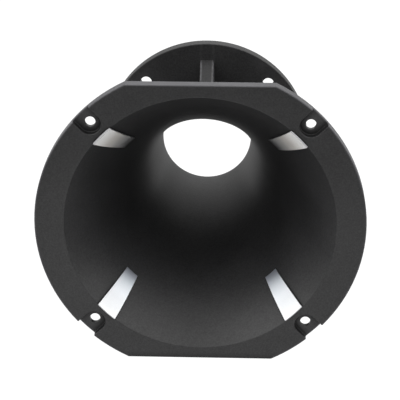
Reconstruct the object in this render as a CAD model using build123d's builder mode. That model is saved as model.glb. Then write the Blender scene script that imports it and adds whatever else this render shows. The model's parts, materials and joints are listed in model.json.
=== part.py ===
from build123d import *
import math
import os

# Loudspeaker horn flare for a compression driver with a two inch exit.
# Frame: the horn axis is Y. The mouth looks towards -Y, the driver bolts on at +Y, +Z is up.
# The origin is on the axis, in the plane where the mouth flange seats on a baffle.
# All lengths are in mm, all angles in degrees unless noted.

os.makedirs("parts", exist_ok=True)

# ------------------------------------------------------------------ driving dimensions
horn_length = 133.0          # mouth flange front face to driver flange rear face
four_corners = {"count": 4, "start_angle": 45}   # both flanges have screws on the diagonals

# mouth flange
flange_thickness = 6.2       # front face to seating face
flange_radius = 87.85
flange_flat = 78.75          # axis to the flats cut across the top and the bottom
flange_front_round = 0.45
flange_back_round = 0.35
flange_skin = 3.2            # thickness of the cored-out plate
lip_width = 3.0              # rim left standing round the cored-out back
core_radius = 70.6           # inner edge of the coring, inside the bell wall
core_rib_width = 1.9
core_rib_step = 15.0         # degrees between ribs

# screw pockets in the mouth flange
mouth_pcd = 161.6
mouth_hole_radius = 2.8
pocket_radius = 5.9
pocket_depth = 3.7
pocket_floor_round = 0.5
pocket_lip_round = 0.4
pocket_wall = 2.4            # wall of the boss behind a pocket
pocket_reach = 20.0          # slot from the screw centre out past the rim
boss_reach = 16.0            # the same for the boss

# flare: radii of its Bezier control points, evenly spaced along the axis from mouth to throat
flare_radii = (72.30, 49.30, 39.95, 30.11, 26.55, 26.20)
mouth_round = 0.4            # broken edge where the flare runs out into the flange's front face
throat_radius = flare_radii[-1]
throat_land = 4.0            # short straight bore where the driver's exit meets the horn
wall = 3.4

# driver flange
driver_flange_radius = 59.85
driver_flange_thickness = 7.0
driver_rim_round = 0.45
driver_pcd = 101.6
driver_hole_radius = 3.35
neck_fillet = 2.2

# gussets between driver flange and bell
gusset_turns = (0, 90, 180, 270)
gusset_top = 50.0            # radius of the crest where it meets the driver flange
gusset_length = 35.5
gusset_end = 33.2            # radius of the crest where it dies into the bell
gusset_root = 28.4           # kept inside the bell wall
gusset_root_width_back = 8.9
gusset_root_width_front = 7.1
gusset_draft = 1.0           # lean of each side towards the crest
gusset_overlap = 0.5         # runs this far into the driver flange
gusset_edge = 1.0

# trim strips: thin plates stuck on the flare, tapering from the mouth inwards
strip_half_mouth = 6.03      # half width in plan at the mouth plane
strip_taper = 0.0957         # half width lost per mm along the axis
strip_thickness = 0.9
tape_thickness = 0.4
tape_inset = 0.4             # the tape stops this much short of the strip's edges
# each strip as laid: turn clockwise from 12 o'clock seen from the mouth side,
# then start and end behind the mouth plane
strip_places = {
    "upper_right": (45.3, -0.4, 23.5),
    "lower_right": (134.9, -0.1, 23.8),
    "lower_left": (224.8, -0.4, 23.6),
    "upper_left": (315.0, -0.6, 23.4),
}

# driver gasket and its seat
gasket_outer = 44.0
gasket_inner = 27.6
gasket_thickness = 2.0
gasket_round = 0.2
seat_depth = 1.4             # the seat is open to the throat
seat_gap = 0.3

# ------------------------------------------------------------------ stations along the axis
y_front = -flange_thickness
y_rear = horn_length - flange_thickness
y_neck = y_rear - driver_flange_thickness
y_seat = y_rear - seat_depth
y_land = y_seat - throat_land


def station(y):
    """Plane across the axis at y, with local x along -X and local y along +Z; it faces +Y."""
    return Plane(origin=(0, y, 0), x_dir=(-1, 0, 0), z_dir=(0, 1, 0))


def save(part, name):
    """Label a piece and write its STEP file."""
    part.label = name
    export_step(part, f"parts/{name}.step")


# ------------------------------------------------------------------ the flare curve
# control points as (radius, y)
flare_points = [
    (radius, y_front + (y_land - y_front) * i / (len(flare_radii) - 1))
    for i, radius in enumerate(flare_radii)
]


def split_flare(parameter):
    """Control points of the part of the flare from the parameter to the throat."""
    rows = [flare_points]
    while len(rows[-1]) > 1:
        last = rows[-1]
        rows.append(
            [
                (
                    here[0] + parameter * (ahead[0] - here[0]),
                    here[1] + parameter * (ahead[1] - here[1]),
                )
                for here, ahead in zip(last, last[1:])
            ]
        )
    return [row[-1] for row in reversed(rows)]


def flare_at(parameter, depth=0.0):
    """Point (radius, y) of the flare, moved into the wall by depth."""
    here, ahead = split_flare(parameter)[:2]
    radial, axial = ahead[0] - here[0], ahead[1] - here[1]
    length = math.hypot(radial, axial)
    # the normal that points away from the axis
    return (here[0] + depth * axial / length, here[1] - depth * radial / length)


def flare_parameter(y, low=-0.05, high=1.0, depth=0.0):
    """Parameter, found by bisection, at which the curve at one depth passes the station y."""
    for _ in range(60):
        middle = (low + high) / 2
        if flare_at(middle, depth)[1] < y:
            low = middle
        else:
            high = middle
    return (low + high) / 2


def flare_run(start, end, depth, count):
    """Points between two parameters that run parallel to the flare at one depth."""
    return [flare_at(start + (end - start) * i / (count - 1), depth) for i in range(count)]


# the rounded edge of the mouth is tangent to the flare and to the front face
round_parameter = flare_parameter(
    y_front + mouth_round, low=0.0, high=0.2, depth=mouth_round
)
round_centre = flare_at(round_parameter, mouth_round)
mouth_radius = round_centre[0]
round_touch = flare_at(round_parameter)
round_sweep = math.atan2(          # radians
    round_centre[0] - round_touch[0], round_centre[1] - round_touch[1]
)


def round_at(share):
    """Point on the mouth's rounded edge: share 0 on the flare, 1 on the front face."""
    angle = round_sweep * (1 - share)
    return (
        round_centre[0] - mouth_round * math.sin(angle),
        round_centre[1] - mouth_round * math.cos(angle),
    )


# ------------------------------------------------------------------ gusset
def make_gusset():
    """Tapering gusset at 12 o'clock, with its two long crest edges rounded."""
    sections = (
        # station, root width, crest radius
        (y_neck + gusset_overlap, gusset_root_width_back, gusset_top),
        (y_neck - gusset_length, gusset_root_width_front, gusset_end),
    )
    with BuildPart() as gusset:
        for y, root_width, crest_radius in sections:
            with BuildSketch(station(y)):
                with Locations((0, (crest_radius + gusset_root) / 2)):
                    Trapezoid(root_width, crest_radius - gusset_root, 90 - gusset_draft)
        loft()
        crest = gusset.faces().sort_by(Axis.Z)[-1]
        long_edges = [edge for edge in crest.edges() if abs(edge.tangent_at(0.5).Y) > 0.5]
        fillet(long_edges, radius=gusset_edge)
    return gusset.part


# ------------------------------------------------------------------ horn body
def arcs(edges, radius, y=None, tolerance=0.01):
    """Circular edges of one radius, at one station if y is given."""
    return edges.filter_by(
        lambda edge: edge.geom_type == GeomType.CIRCLE
        and abs(edge.radius - radius) < tolerance
        and (y is None or abs(edge.center().Y - y) < tolerance)
    )


def make_horn_body():
    """Mouth flange, bell, driver flange and gussets in one piece, with the sound path cut."""
    gusset = make_gusset()
    boss_radius = pocket_radius + pocket_wall
    with BuildPart() as horn_body:
        # mouth flange: a disc with its top and bottom cut flat
        with BuildSketch(station(y_front)):
            Circle(flange_radius)
            Rectangle(2 * flange_radius + 2, 2 * flange_flat, mode=Mode.INTERSECT)
        extrude(amount=flange_thickness)
        fillet(horn_body.edges().group_by(Axis.Y)[0], radius=flange_front_round)
        fillet(horn_body.edges().group_by(Axis.Y)[-1], radius=flange_back_round)

        # the back of the flange is cored out, leaving a rim, screw bosses and short ribs
        with BuildSketch(station(0)):
            Circle(flange_radius - lip_width)
            Rectangle(
                2 * flange_radius, 2 * (flange_flat - lip_width), mode=Mode.INTERSECT
            )
            Circle(core_radius, mode=Mode.SUBTRACT)
            with PolarLocations(mouth_pcd / 2, **four_corners):
                Circle(boss_radius, mode=Mode.SUBTRACT)
            with PolarLocations((mouth_pcd + boss_reach) / 2, **four_corners):
                Rectangle(boss_reach, 2 * boss_radius, mode=Mode.SUBTRACT)
            with PolarLocations(
                (core_radius + flange_radius) / 2, int(360 / core_rib_step)
            ):
                Rectangle(
                    flange_radius - core_radius, core_rib_width, mode=Mode.SUBTRACT
                )
        extrude(amount=-(flange_thickness - flange_skin), mode=Mode.SUBTRACT)

        # bell and driver flange as a solid of revolution; its front end is inside the flange
        y_bell = y_front + 1.0
        with BuildSketch(Plane.XY):
            with BuildLine():
                bell = Spline(flare_run(0.0, flare_parameter(y_neck - 1.0), wall, count=15))
                neck = bell @ 1
                Polyline(
                    neck,
                    (neck.X, y_neck),
                    (driver_flange_radius, y_neck),
                    (driver_flange_radius, y_rear),
                    (0, y_rear),
                    (0, y_bell),
                    ((bell @ 0).X - 2.0, y_bell),
                    bell @ 0,
                )
            make_face()
        revolve(axis=Axis.Y)
        fillet(arcs(horn_body.edges(), driver_flange_radius), radius=driver_rim_round)
        fillet(arcs(horn_body.edges(), neck.X, y_neck, tolerance=0.05), radius=neck_fillet)

        for turn in gusset_turns:
            add(gusset, rotation=(0, turn, 0))

        # the sound path, run out past both ends
        with BuildSketch(Plane.XY):
            with BuildLine():
                Bezier(*split_flare(round_parameter))
                ThreePointArc(round_at(0), round_at(0.5), round_at(1))
                Polyline(
                    flare_points[-1],
                    (throat_radius, y_rear + 1.0),
                    (0, y_rear + 1.0),
                    (0, y_front - 2.0),
                    (mouth_radius, y_front - 2.0),
                    round_at(1),
                )
            make_face()
        revolve(axis=Axis.Y, mode=Mode.SUBTRACT)

        # screw pockets, open to the rim, with a clearance hole in each floor
        with BuildSketch(station(y_front)):
            with PolarLocations(mouth_pcd / 2, **four_corners):
                Circle(pocket_radius)
            with PolarLocations((mouth_pcd + pocket_reach) / 2, **four_corners):
                Rectangle(pocket_reach, 2 * pocket_radius)
        extrude(amount=pocket_depth, mode=Mode.SUBTRACT)
        with BuildSketch(station(y_front - 1)):
            with PolarLocations(mouth_pcd / 2, **four_corners):
                Circle(mouth_hole_radius)
        extrude(amount=flange_thickness + 2, mode=Mode.SUBTRACT)

        # rounded floor and broken front edge of each screw pocket
        offset = mouth_pcd / 2 * math.cos(math.pi / 4)
        for side_x, side_z in ((1, 1), (1, -1), (-1, -1), (-1, 1)):
            centre = Vector(side_x * offset, 0, side_z * offset)
            for y, rounding in (
                (y_front + pocket_depth, pocket_floor_round),
                (y_front, pocket_lip_round),
            ):
                pocket_edges = arcs(horn_body.edges(), pocket_radius, y).filter_by(
                    lambda edge: (
                        Vector(edge.arc_center.X, 0, edge.arc_center.Z) - centre
                    ).length < 0.1
                )
                fillet(pocket_edges, radius=rounding)

        # driver bolt holes, cut from 4 in front of the flange to 2 behind it
        with BuildSketch(station(y_neck - 4)):
            with PolarLocations(driver_pcd / 2, **four_corners):
                Circle(driver_hole_radius)
        extrude(amount=driver_flange_thickness + 6, mode=Mode.SUBTRACT)

        # gasket seat
        with BuildSketch(station(y_rear)):
            Circle(gasket_outer + seat_gap)
        extrude(amount=-seat_depth, mode=Mode.SUBTRACT)
    return horn_body.part


save(make_horn_body(), "horn_body")


# ------------------------------------------------------------------ trim strips and their tape
def make_plate(start, end, near, far, inset):
    """Plate at 12 o'clock that follows the flare between two heights above it."""
    y_start, y_end = y_front + start + inset, y_front + end - inset
    run = (flare_parameter(y_start), flare_parameter(y_end))

    # a sector of the flare, wider than the plate, is trimmed by the tapered plan
    half_sector = 9
    sector_angle = math.radians(90 + half_sector)
    across, up = math.cos(sector_angle), math.sin(sector_angle)
    sector_start = Plane(origin=(0, 0, 0), x_dir=(across, 0, up), z_dir=(-up, 0, across))
    plan_margin = 4.0
    y_near, y_far = y_start - plan_margin, y_end + plan_margin
    half_near, half_far = [
        strip_half_mouth - strip_taper * (y - y_front) - inset for y in (y_near, y_far)
    ]
    with BuildPart() as plate:
        with BuildSketch(sector_start):
            with BuildLine():
                under = Spline(flare_run(*run, -near, count=9))
                over = Spline(flare_run(*run, -far, count=9))
                Line(under @ 0, over @ 0)
                Line(under @ 1, over @ 1)
            make_face()
        revolve(axis=Axis.Y, revolution_arc=2 * half_sector)
        with BuildSketch(Plane.XY):
            Polygon(
                (-half_near, y_near),
                (half_near, y_near),
                (half_far, y_far),
                (-half_far, y_far),
                align=None,
            )
        extrude(amount=100, mode=Mode.INTERSECT)
    return plate.part


for place, (turn, start, end) in strip_places.items():
    strip_top = tape_thickness + strip_thickness
    plates = {
        "trim_strip": make_plate(start, end, near=tape_thickness, far=strip_top, inset=0.0),
        # the tape never starts in front of the mouth plane
        "adhesive_pad": make_plate(
            max(start, 0.0), end, near=0.0, far=tape_thickness, inset=tape_inset
        ),
    }
    for kind, plate_blank in plates.items():
        with BuildPart() as laid_plate:
            add(plate_blank, rotation=(0, turn, 0))
        save(laid_plate.part, f"{kind}_{place}")


# ------------------------------------------------------------------ driver gasket
def make_driver_gasket():
    """Flat ring on the floor of its seat, standing proud of the driver flange."""
    with BuildPart() as driver_gasket:
        with BuildSketch(station(y_seat)):
            Circle(gasket_outer)
            Circle(gasket_inner, mode=Mode.SUBTRACT)
        extrude(amount=gasket_thickness)
        fillet(driver_gasket.edges(), radius=gasket_round)
    return driver_gasket.part


save(make_driver_gasket(), "driver_gasket")
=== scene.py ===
# A satin black moulded body with a mouth flange, a driver flange and gussets, brushed metal trim,
# foam tape and a gasket, on pale paper in a white tent.
# Metres, +Z up. The body's axis is Y: the mouth is near y = 0 and faces -Y, the driver flange is
# towards +Y, and +X is to the right as seen from the mouth side.
import json
import math

import bpy
from mathutils import Matrix, Vector


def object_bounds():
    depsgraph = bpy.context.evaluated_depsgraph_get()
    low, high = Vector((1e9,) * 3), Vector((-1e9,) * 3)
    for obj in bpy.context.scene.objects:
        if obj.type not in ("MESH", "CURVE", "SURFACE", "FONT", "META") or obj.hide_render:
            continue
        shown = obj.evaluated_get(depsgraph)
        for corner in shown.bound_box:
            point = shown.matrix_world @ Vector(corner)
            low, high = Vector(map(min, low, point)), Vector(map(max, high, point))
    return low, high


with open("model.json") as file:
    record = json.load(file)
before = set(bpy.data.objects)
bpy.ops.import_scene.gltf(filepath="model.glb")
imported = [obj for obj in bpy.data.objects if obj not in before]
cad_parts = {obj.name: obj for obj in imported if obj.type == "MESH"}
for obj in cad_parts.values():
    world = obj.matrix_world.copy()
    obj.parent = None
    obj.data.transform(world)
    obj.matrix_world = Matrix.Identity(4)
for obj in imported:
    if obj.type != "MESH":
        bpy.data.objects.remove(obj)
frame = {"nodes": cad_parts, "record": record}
bpy.context.view_layer.update()
cad_low, cad_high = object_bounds()
scene = bpy.context.scene


# ---------------------------------------------------------------- node helpers
class Nodes:
    """A thin wrapper that keeps node graphs short: most methods add a node and return its output."""

    def __init__(self, tree):
        self.tree = tree
        tree.nodes.clear()

    def node(self, kind, inputs=None, **settings):
        """Adds a node; each input, by name or index, is given a value or linked to a socket."""
        made = self.tree.nodes.new(kind)
        for key, value in settings.items():
            setattr(made, key, value)
        for key, value in (inputs or {}).items():
            if isinstance(value, bpy.types.NodeSocket):
                self.tree.links.new(value, made.inputs[key])
            else:
                made.inputs[key].default_value = value
        return made

    def math(self, operation, a, b=0.0, c=0.0):
        return self.node("ShaderNodeMath", {0: a, 1: b, 2: c}, operation=operation).outputs[0]

    def fold(self, operation, result, *rest):
        for value in rest:
            result = self.math(operation, result, value)
        return result

    def add(self, *values):
        return self.fold("ADD", *values)

    def mul(self, *values):
        return self.fold("MULTIPLY", *values)

    def sub(self, a, b):
        return self.math("SUBTRACT", a, b)

    def absolute(self, value):
        return self.math("ABSOLUTE", value)

    def weigh(self, *pairs):
        """The sum of (value, weight) pairs."""
        return self.add(*[self.mul(value, weight) for value, weight in pairs])

    def swing(self, value, amount):
        """A 0 to 1 value turned into a swing about zero."""
        return self.mul(self.sub(value, 0.5), amount)

    def length(self, a, b):
        return self.math("SQRT", self.add(self.mul(a, a), self.mul(b, b)))

    def object_coords(self):
        return self.node("ShaderNodeTexCoord").outputs["Object"]

    def split(self, vector):
        return self.node("ShaderNodeSeparateXYZ", {"Vector": vector}).outputs[:]

    def combine(self, x=0.0, y=0.0, z=0.0):
        return self.node("ShaderNodeCombineXYZ", {0: x, 1: y, 2: z}).outputs[0]

    def normalize(self, vector):
        return self.node("ShaderNodeVectorMath", {0: vector}, operation="NORMALIZE").outputs[0]

    def dot(self, a, b):
        made = self.node("ShaderNodeVectorMath", {0: a, 1: b}, operation="DOT_PRODUCT")
        return made.outputs["Value"]

    def noise(self, vector, scale, detail=2.0, rough=0.5):
        return self.node("ShaderNodeTexNoise", {
            "Vector": vector, "Scale": scale, "Detail": detail, "Roughness": rough,
        }).outputs[0]

    def voronoi(self, vector, scale, smooth=None):
        inputs = {"Vector": vector, "Scale": scale}
        if smooth is None:
            return self.node("ShaderNodeTexVoronoi", inputs).outputs[0]
        made = self.node("ShaderNodeTexVoronoi", feature="SMOOTH_F1",
                         inputs={**inputs, "Smoothness": smooth})
        return made.outputs[0]

    def ramp(self, fac, stops):
        """A colour ramp; stops are (position, RGB)."""
        made = self.node("ShaderNodeValToRGB", {"Fac": fac})
        elements = made.color_ramp.elements
        while len(elements) < len(stops):
            elements.new(0.5)
        for element, (position, colour) in zip(elements, stops):
            element.position = position
            element.color = (*colour, 1.0)
        return made.outputs[0]

    def remap(self, value, span, to=(0.0, 1.0)):
        """Maps span onto the range to, held at its ends."""
        inputs = dict(enumerate((value, *span, *to)))
        return self.node("ShaderNodeMapRange", inputs, clamp=True).outputs[0]

    def fall(self, value, span):
        return self.remap(value, span, to=(1.0, 0.0))

    def mix(self, fac, a, b, blend="MIX"):
        """Mixes two colours, each a socket or an RGB triple."""
        a, b = (c if isinstance(c, bpy.types.NodeSocket) else (*c, 1.0) for c in (a, b))
        return self.node("ShaderNodeMix", {0: fac, 6: a, 7: b},
                         data_type="RGBA", blend_type=blend).outputs[2]

    def multiply_colours(self, a, b):
        return self.mix(1.0, a, b, blend="MULTIPLY")

    def bump(self, height, strength, distance, **normal):
        inputs = {"Height": height, "Strength": strength, "Distance": distance}
        if normal:
            inputs["Normal"] = normal["normal"]
        return self.node("ShaderNodeBump", inputs).outputs[0]

    def to_camera(self, seen, cast):
        """One level as the camera sees it and another for all other rays."""
        camera_ray = self.node("ShaderNodeLightPath").outputs["Is Camera Ray"]
        return self.add(self.mul(camera_ray, seen), self.mul(self.sub(1.0, camera_ray), cast))

    def principled(self, inputs):
        return self.node("ShaderNodeBsdfPrincipled", inputs).outputs[0]


def material(name, build):
    made = bpy.data.materials.new(name)
    made.use_nodes = True
    n = Nodes(made.node_tree)
    n.node("ShaderNodeOutputMaterial", {"Surface": build(n)})
    return made


# ---------------------------------------------------------------- body plastic
PLASTIC = [(0.30, (0.0068, 0.0067, 0.0070)), (0.70, (0.0167, 0.0164, 0.0170))]
# painted highlight and sky reflection for the mouth flange's outer rim
RIM_HIGHLIGHT_COLOUR = (0.068, 0.067, 0.073)
EDGE_COLOUR = (0.060, 0.059, 0.061)
# painted highlight for the gusset crests
CREST_HIGHLIGHT_COLOUR = (0.085, 0.084, 0.088)
# painted shade for corners and pockets
PAINTED_SHADE_COLOUR = (0.002, 0.002, 0.002)
# where each effect fades in or out, in metres
RIM_RADIUS = (0.0870, 0.0876)
RIM_HEIGHT = (0.0780, 0.0786)
RIM_BACK = (0.0004, 0.0008)
CREST_INNER_SIDE = (0.0026, 0.0033)
CREST_OUTER_SIDE = (0.0041, 0.0046)
CREST_START = (0.082, 0.086)
CREST_END = (0.1185, 0.1200)
CREST_RADIUS = (0.034, 0.037)
HOLLOW_REACH = 0.005
HOLLOW_BACK = (0.002, 0.008)
EDGE_ROUNDING = 0.0004


def rim_painted_highlight(n, where, radius, y, z):
    """Painted highlight and sky reflection on the outer edge of the mouth flange, broken up in
    patches.
    """
    outer = n.math("MAXIMUM", n.remap(radius, span=RIM_RADIUS),
                   n.remap(n.absolute(z), span=RIM_HEIGHT))
    highlight_breakup = n.remap(n.noise(where, scale=130.0, detail=3.0, rough=0.6),
                   span=(0.30, 0.60), to=(0.72, 1.0))
    return n.mul(outer, n.fall(y, span=RIM_BACK), highlight_breakup)


def gusset_crest_highlight(n, where, radius, x, y, z):
    """Painted highlight on the corners of the gusset crests, in patches."""
    side = n.math("MINIMUM", n.absolute(x), n.absolute(z))
    patch = n.noise(where, scale=260.0, rough=0.6)
    return n.mul(
        n.remap(side, span=CREST_INNER_SIDE), n.fall(side, span=CREST_OUTER_SIDE),
        n.remap(y, span=CREST_START), n.fall(y, span=CREST_END),
        n.remap(radius, span=CREST_RADIUS), n.remap(patch, span=(0.35, 0.6), to=(0.35, 1.0)),
    )


def moulded_plastic(n):
    """Satin black: fine spark-eroded grain, faint flow mottling, rubbed edges, painted highlights on
    the rim and gusset crests, painted shade in corners and pockets.
    """
    where = n.object_coords()
    x, y, z = n.split(where)
    radius = n.length(x, z)
    mottle = n.noise(where, scale=38.0, detail=3.0, rough=0.55)
    smear = n.noise(where, scale=9.0)
    fleck = n.noise(where, scale=1100.0, rough=0.6)
    base = n.ramp(n.weigh((mottle, 0.6), (fleck, 0.4)), PLASTIC)
    # painted highlight on the outer edge of the mouth flange
    base = n.mix(rim_painted_highlight(n, where, radius, y, z), base, RIM_HIGHLIGHT_COLOUR)

    # raised corners go a shade lighter, in patches
    pointiness = n.node("ShaderNodeNewGeometry").outputs["Pointiness"]
    rub = n.mul(n.remap(pointiness, span=(0.53, 0.60)),
                n.remap(mottle, span=(0.40, 0.62), to=(0.25, 1.0)))
    base = n.mix(n.mul(rub, 0.55), base, EDGE_COLOUR)
    # painted highlight on the gusset crests
    base = n.mix(n.mul(gusset_crest_highlight(n, where, radius, x, y, z), 0.9), base, CREST_HIGHLIGHT_COLOUR)

    # painted shade: corners and pockets close to the mouth plane are darkened in colour and in
    # reflection; farther back nothing changes
    hollow = n.node("ShaderNodeAmbientOcclusion", {"Distance": HOLLOW_REACH}, samples=6)
    open_sky = n.math("MAXIMUM",
                      n.remap(hollow.outputs["AO"], span=(0.35, 0.90), to=(0.25, 1.0)),
                      n.remap(y, span=HOLLOW_BACK))
    base = n.mix(open_sky, PAINTED_SHADE_COLOUR, base)

    rough = n.add(n.remap(smear, span=(0.3, 0.7), to=(0.43, 0.48)), n.swing(fleck, amount=0.12))
    rough = n.sub(rough, n.mul(rub, 0.08))

    # fine grain with shallow pits and a stronger coarse grain
    grain = n.noise(where, scale=2600.0, detail=3.0, rough=0.62)
    pits = n.voronoi(where, scale=1500.0, smooth=0.6)
    coarse = n.noise(where, scale=900.0, rough=0.55)
    height = n.add(grain, n.mul(pits, 0.8), n.mul(coarse, 2.2))
    bevel = n.node("ShaderNodeBevel", {"Radius": EDGE_ROUNDING}, samples=4).outputs[0]

    # highlights vary by fleck and by patch about the usual 0.5
    blotch = n.noise(where, scale=340.0, rough=0.55)
    patchy = n.add(n.remap(fleck, span=(0.30, 0.70), to=(-0.15, 0.15)),
                   n.remap(blotch, span=(0.30, 0.70), to=(-0.055, 0.055)))
    gloss = n.mul(n.add(1.0, patchy), 0.5)
    return n.principled({
        "Base Color": base,
        "Roughness": rough,
        "Normal": n.bump(height, strength=0.55, distance=0.00004, normal=bevel),
        "IOR": 1.50,
        "Specular IOR Level": n.mul(open_sky, gloss),
    })


# ---------------------------------------------------------------- trim metal
def greys(stops):
    return [(position, (level,) * 3) for position, level in stops]


PLATE_Y = (-0.006, 0.018)  # the mouth end and the inner end of the plate
BARE_METAL = [(0.30, (0.84, 0.84, 0.845)), (0.72, (0.92, 0.92, 0.925))]
SAWN_METAL = (0.42, 0.42, 0.43)
# Stops along the plate, 0 at the mouth and 1 at the inner end: brightness, which is painted shade
# falling towards the inner end, roughness, and the painted reflection tints of the upper (warm, with
# painted shade at the inner end) and lower (cool) halves.
PLATE_SHADE = greys([(0.0, 1.05), (0.16, 1.00), (0.28, 0.96), (0.41, 1.00),
              (0.66, 0.98), (0.79, 0.94), (0.91, 0.70), (1.0, 0.40)])
BLAST = greys([(0.05, 0.71), (0.16, 0.64), (0.28, 0.57), (0.41, 0.52),
               (0.53, 0.47), (0.66, 0.44), (0.78, 0.37), (0.91, 0.335)])
UPPER_PLATE_TINT = [(0.0, (0.98, 0.975, 0.96)), (0.30, (1.0, 0.965, 0.91)), (0.55, (0.99, 0.97, 0.94)),
        (0.86, (1.0, 1.0, 1.0)), (0.91, (0.58, 0.58, 0.58)), (0.96, (0.36, 0.36, 0.36))]
LOWER_PLATE_TINT = [(0.0, (0.99, 1.0, 1.0)), (0.40, (0.95, 0.975, 1.0)),
        (0.70, (0.90, 0.95, 1.0)), (0.95, (0.84, 0.89, 1.0))]


def brushed_metal(n):
    """Blasted, brushed aluminium: rough at the mouth and finer at the inner end, with painted shade
    darkening it towards the inner end and painted reflection tints, warm above and cool below.
    """
    where = n.object_coords()
    x, y, z = n.split(where)
    depth = n.remap(y, span=PLATE_Y)
    angle = n.math("ARCTAN2", z, x)

    def unrolled(around, along):
        """Coordinates round the Y axis and along it, each with its own stretch."""
        return n.combine(x=n.mul(angle, around), y=n.mul(y, along))

    streak = n.noise(unrolled(around=60.0, along=42.0), scale=9.0, detail=4.0, rough=0.7)
    broad = n.noise(unrolled(around=60.0, along=120.0), scale=1.6)
    speck = n.noise(where, scale=900.0)

    # painted reflection tints, warm on the upper half and cool on the lower, and painted shade
    # darkening each plate towards its inner end
    low_side = n.fall(z, span=(-0.001, 0.001))
    painted_tint = n.mix(low_side, n.ramp(depth, UPPER_PLATE_TINT), n.ramp(depth, LOWER_PLATE_TINT))
    base = n.multiply_colours(n.ramp(streak, BARE_METAL), n.ramp(depth, PLATE_SHADE))
    base = n.multiply_colours(base, painted_tint)

    # sawn ends and sides are duller than the face, which looks in towards the axis
    normal = n.node("ShaderNodeNewGeometry").outputs["True Normal"]
    facing = n.dot(normal, n.normalize(n.combine(x=x, z=z)))
    base = n.mix(n.remap(facing, span=(-0.35, -0.10)), base, SAWN_METAL)

    rough = n.add(n.ramp(depth, BLAST), n.swing(broad, amount=0.06),
                  n.swing(streak, amount=0.08))
    height = n.weigh((streak, 1.0), (speck, 0.15))
    return n.principled({
        "Base Color": base,
        "Roughness": rough,
        "Normal": n.bump(height, strength=0.35, distance=0.00003),
        "Metallic": 1.0,
    })


# ---------------------------------------------------------------- foams
TAPE = [(0.3, (0.010, 0.010, 0.0105)), (0.7, (0.026, 0.026, 0.027))]
RUBBER = [(0.25, (0.020, 0.020, 0.021)), (0.75, (0.050, 0.050, 0.052))]


def foam_tape(n):
    """Black closed-cell foam mounting tape: torn cell edges, dusty cut sides."""
    where = n.object_coords()
    cells = n.voronoi(where, scale=2600.0)
    cloud = n.noise(where, scale=260.0, detail=3.0)
    dust = n.noise(where, scale=1800.0, rough=0.6)
    return n.principled({
        "Base Color": n.ramp(n.weigh((cloud, 0.6), (dust, 0.4)), TAPE),
        "Roughness": n.remap(dust, span=(0.3, 0.7), to=(0.80, 0.95)),
        "Normal": n.bump(cells, strength=0.7, distance=0.00006),
    })


def foam_rubber(n):
    """Matt closed-cell gasket sheet: cut cells, chalky bloom."""
    where = n.object_coords()
    cells = n.voronoi(where, scale=1300.0)
    cloud = n.noise(where, scale=55.0, detail=3.0, rough=0.6)
    fine = n.noise(where, scale=1900.0, rough=0.6)
    return n.principled({
        "Base Color": n.ramp(n.weigh((cloud, 0.6), (cells, 0.4)), RUBBER),
        "Roughness": n.remap(fine, span=(0.3, 0.7), to=(0.82, 0.95)),
        "Normal": n.bump(cells, strength=0.8, distance=0.00010),
        "Sheen Weight": 0.15,
    })


MATERIALS = {
    "body_plastic": material("body_plastic_satin", moulded_plastic),
    "trim_metal": material("trim_metal_brushed", brushed_metal),
    "foam_tape": material("foam_tape_black", foam_tape),
    "gasket_rubber": material("gasket_foam_rubber", foam_rubber),
}
slot_of = {part["node"]: part["material_slot"] for part in frame["record"]["subparts"]}
for name, obj in frame["nodes"].items():
    obj.data.materials.clear()
    obj.data.materials.append(MATERIALS[slot_of[name]])

# ---------------------------------------------------------------- floor
FLOOR_Z = cad_low.z - 0.0005
FLOOR_RADIUS = 5.0
FLOOR_RINGS, FLOOR_STEPS = 40, 96
RING_CROWDING = 1.6  # above 1, rings crowd towards the middle

# light that the paper gives off to everything but the camera, in zones about GLOW_CENTRE_Y
GLOW_CENTRE_Y = 0.055
GLOW_MIDDLE = 0.88
GLOW_ZONES = [  # inner radius, then the level towards the mouth, right, back and left
    (0.12, (1.14, 0.02, 0.42, 0.75)),
    (0.35, (0.05, 0.02, 0.74, 0.25)),
    (1.1, (0.95, 0.95, 0.95, 0.95)),
]


def floor_glow(n, where):
    x, y, _ = n.split(where)
    y = n.sub(y, GLOW_CENTRE_Y)
    radius = n.math("MAXIMUM", n.length(x, y), 0.0001)  # never divides by zero
    toward = n.math("DIVIDE", n.mul(y, -1.0), radius)
    across = n.math("DIVIDE", x, radius)
    ahead, behind = (0.60, 0.80), (-0.80, -0.60)
    sides = [n.remap(toward, span=ahead), n.remap(across, span=ahead),
             n.fall(toward, span=behind), n.fall(across, span=behind)]
    level = GLOW_MIDDLE
    for start, values in GLOW_ZONES:
        zone = n.add(0.0, *[n.mul(side, value) for side, value in zip(sides, values)])
        step = n.remap(radius, span=(start * 0.85, start * 1.15))
        level = n.add(n.mul(level, n.sub(1.0, step)), n.mul(zone, step))
    return level


def floor_paper(n):
    """Pale seamless paper: faint tooth and tone, bright to the eye, uneven in the light it returns."""
    where = n.object_coords()
    tooth = n.noise(where, scale=600.0)
    cloud = n.noise(where, scale=2.0)
    seen = n.add(1.04, n.mul(n.add(cloud, n.mul(tooth, 0.3)), 0.04))
    return n.principled({
        "Roughness": 0.9,
        "Base Color": (0.03, 0.03, 0.03, 1.0),
        "Specular IOR Level": 0.0,
        "Normal": n.bump(tooth, strength=0.1, distance=0.0001),
        "Emission Color": (1, 1, 1, 1),
        "Emission Strength": n.to_camera(seen=seen, cast=floor_glow(n, where)),
    })


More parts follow.
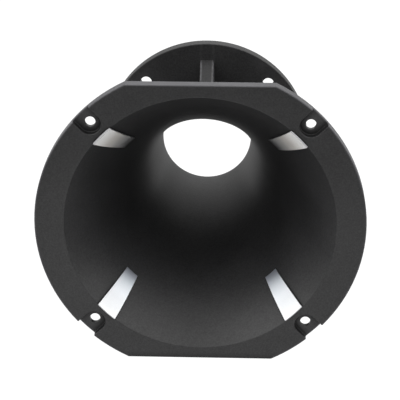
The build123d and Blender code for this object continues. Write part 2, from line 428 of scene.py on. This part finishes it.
def floor_disc():
    verts = [(0, 0, FLOOR_Z)]
    for i in range(1, FLOOR_RINGS + 1):
        radius = FLOOR_RADIUS * (i / FLOOR_RINGS) ** RING_CROWDING
        for j in range(FLOOR_STEPS):
            angle = 2 * math.pi * j / FLOOR_STEPS
            verts.append((radius * math.cos(angle), radius * math.sin(angle), FLOOR_Z))
    faces = [(0, 1 + j, 1 + (j + 1) % FLOOR_STEPS) for j in range(FLOOR_STEPS)]
    for i in range(1, FLOOR_RINGS):
        first = 1 + (i - 1) * FLOOR_STEPS
        for j in range(FLOOR_STEPS):
            a, b = first + j, first + (j + 1) % FLOOR_STEPS
            faces.append((a, a + FLOOR_STEPS, b + FLOOR_STEPS, b))
    mesh = bpy.data.meshes.new("floor")
    mesh.from_pydata(verts, [], faces)
    return mesh


floor = bpy.data.objects.new("floor", floor_disc())
scene.collection.objects.link(floor)
floor.data.materials.append(material("floor_paper", floor_paper))


# ---------------------------------------------------------------- light
def direction(azimuth, elevation):
    """Unit direction: azimuth in degrees from -Y towards +X, elevation in degrees above level."""
    a, e = math.radians(azimuth), math.radians(elevation)
    return (math.sin(a) * math.cos(e), -math.cos(a) * math.cos(e), math.sin(e))


# the soft panels of a white tent
PANEL_TIGHTNESS = 8.0  # higher is a smaller panel
BACKDROP = 1.05  # the level that the camera sees
PANELS = [  # azimuth, elevation, level
    (0, 90, 0.89),
    (0, 10, 0.43), (90, 10, 1.72), (180, 10, 1.34), (270, 10, 1.67), (315, 10, 0.28),
    (0, 45, 0.29), (45, 45, 0.72), (90, 45, 2.54), (270, 45, 1.78), (315, 45, 1.52),
]


def tent(n):
    view = n.normalize(n.node("ShaderNodeTexCoord").outputs["Generated"])
    lobes = []
    for azimuth, elevation, strength in PANELS:
        toward = n.dot(view, direction(azimuth, elevation))
        falloff = n.math("MULTIPLY_ADD", toward, PANEL_TIGHTNESS, -PANEL_TIGHTNESS)
        lobes.append(n.mul(n.math("EXPONENT", falloff), strength))
    level = n.to_camera(seen=BACKDROP, cast=n.add(*lobes))
    background = n.node("ShaderNodeBackground", {"Color": (1.0, 1.0, 1.0, 1), "Strength": level})
    n.node("ShaderNodeOutputWorld", {"Surface": background.outputs[0]})


world = bpy.data.worlds.new("studio")
scene.world = world
world.use_nodes = True
tent(Nodes(world.node_tree))

# ---------------------------------------------------------------- camera
# on the mouth side, looking down a little on the axis
CAMERA_AZIMUTH, CAMERA_ELEVATION, CAMERA_ROLL = 1.845, 23.462, 0.086  # degrees
CAMERA_DISTANCE = 0.878005
CAMERA_TARGET = Vector((0.0, -0.0062, 0.015327))
LENS_MM, SENSOR_MM = 150.66225, 36.0


def add_camera():
    azimuth, roll = math.radians(CAMERA_AZIMUTH), math.radians(CAMERA_ROLL)
    back = Vector(direction(CAMERA_AZIMUTH, CAMERA_ELEVATION))
    level_right = Vector((math.cos(azimuth), math.sin(azimuth), 0.0))
    level_up = back.cross(level_right)
    right = level_right * math.cos(roll) + level_up * math.sin(roll)
    up = level_up * math.cos(roll) - level_right * math.sin(roll)

    data = bpy.data.cameras.new("camera")
    data.lens = LENS_MM
    data.sensor_width = SENSOR_MM
    data.clip_start, data.clip_end = 0.05, 20.0
    camera = bpy.data.objects.new("camera", data)
    scene.collection.objects.link(camera)
    camera.matrix_world = Matrix((right, up, back)).transposed().to_4x4()
    camera.location = CAMERA_TARGET + back * CAMERA_DISTANCE
    scene.camera = camera


add_camera()
scene.view_settings.view_transform = "Standard"
scene.view_settings.look = "None"
scene.view_settings.exposure = 0.0
scene.view_settings.gamma = 1.0

bpy.context.view_layer.update()
